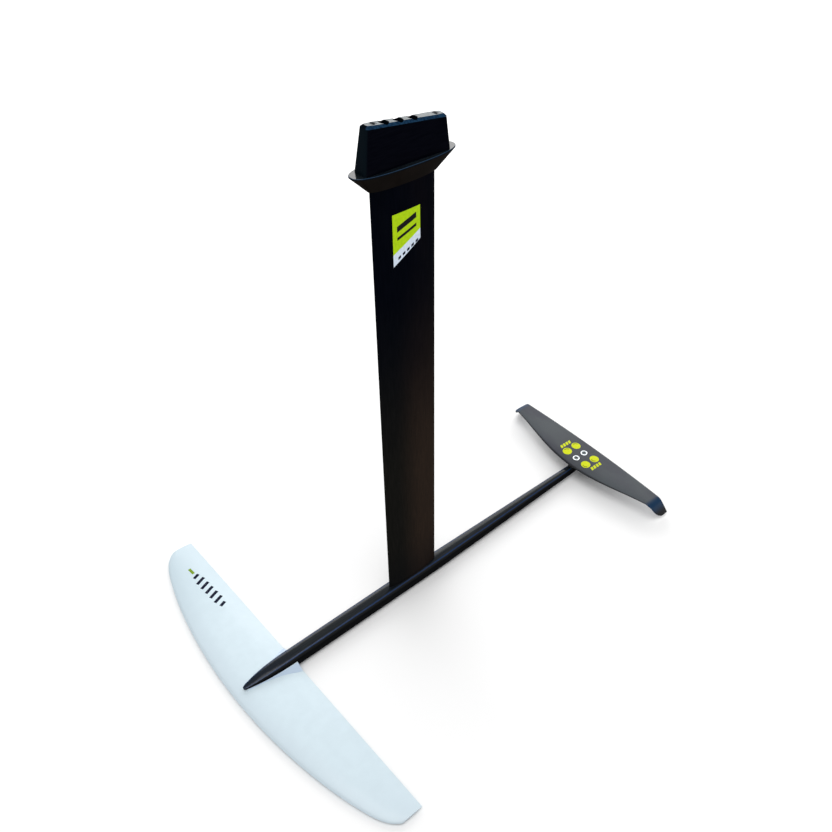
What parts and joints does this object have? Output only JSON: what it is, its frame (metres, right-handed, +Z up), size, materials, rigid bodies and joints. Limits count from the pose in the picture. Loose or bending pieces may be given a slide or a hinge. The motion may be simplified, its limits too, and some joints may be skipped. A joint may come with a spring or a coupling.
{
  "type": "hydrofoil mast wing",
  "caption": "take-down hydrofoil: board head, hollow mast, fuselage, white front wing and grey stabiliser with down-turned tips",
  "frame": {"origin": "on the centre line of the head's sloping top face, half-way between the two board screws", "axes": "+X towards the nose of the fuselage, +Y to port along the wings, +Z up the mast to the board"},
  "size_m": [0.979, 0.771, 1.02],
  "materials": {
    "head_lacquer": "gloss black clear-coated carbon with a faint navy cast",
    "collar_coat": "satin warm black moulded composite",
    "mast_carbon": "satin black carbon, navy at the top and warmer lower down",
    "fuselage_carbon": "gloss black carbon with soft highlights",
    "wing_white": "icy white gelcoat, satin",
    "stabiliser_slate": "satin slate grey lacquer",
    "foam_core": "closed-cell foam",
    "seal_rubber": "matte black gasket",
    "plug_resin": "filled resin",
    "shim_plastic": "moulded spacer",
    "insert_brass": "machined",
    "stainless": "bright stainless fasteners"
  },
  "bodies": {
    "root": {"fuselage": "fuselage_carbon", "mast_foot_bolts": "stainless", "mast_foot_gasket": "seal_rubber", "wing_thread_inserts": "insert_brass", "stabiliser_thread_inserts": "insert_brass", "trim_shim": "shim_plastic"},
    "mast_body": {"mast": "mast_carbon", "mast_end_plugs": "plug_resin", "mast_top_gasket": "seal_rubber"},
    "head_body": {"head_block": "head_lacquer", "head_collar": "collar_coat", "head_bolts": "stainless", "head_bolt_washers": "stainless", "board_bolt_inserts": "stainless"},
    "front_wing_body": {"front_wing_skin": "wing_white", "front_wing_core": "foam_core", "front_wing_insert": "plug_resin", "front_wing_ferrules": "stainless", "front_wing_screws": "stainless"},
    "stabiliser_body": {"stabiliser": "stabiliser_slate", "stabiliser_cup_washers": "stainless", "stabiliser_screws": "stainless"}
  },
  "joints": [
    {"name": "mast_slide", "type": "slide", "parent": "root", "child": "mast_body", "axis": [0, 0, 1], "range_m": [0, 0.06]},
    {"name": "head_slide", "type": "slide", "parent": "mast_body", "child": "head_body", "axis": [0, 0, 1], "range_m": [0, 0.06]},
    {"name": "front_wing_slide", "type": "slide", "parent": "root", "child": "front_wing_body", "axis": [0, 0, -1], "range_m": [0, 0.05]},
    {"name": "stabiliser_slide", "type": "slide", "parent": "root", "child": "stabiliser_body", "axis": [0, 0, 1], "range_m": [0, 0.05]}
  ]
}
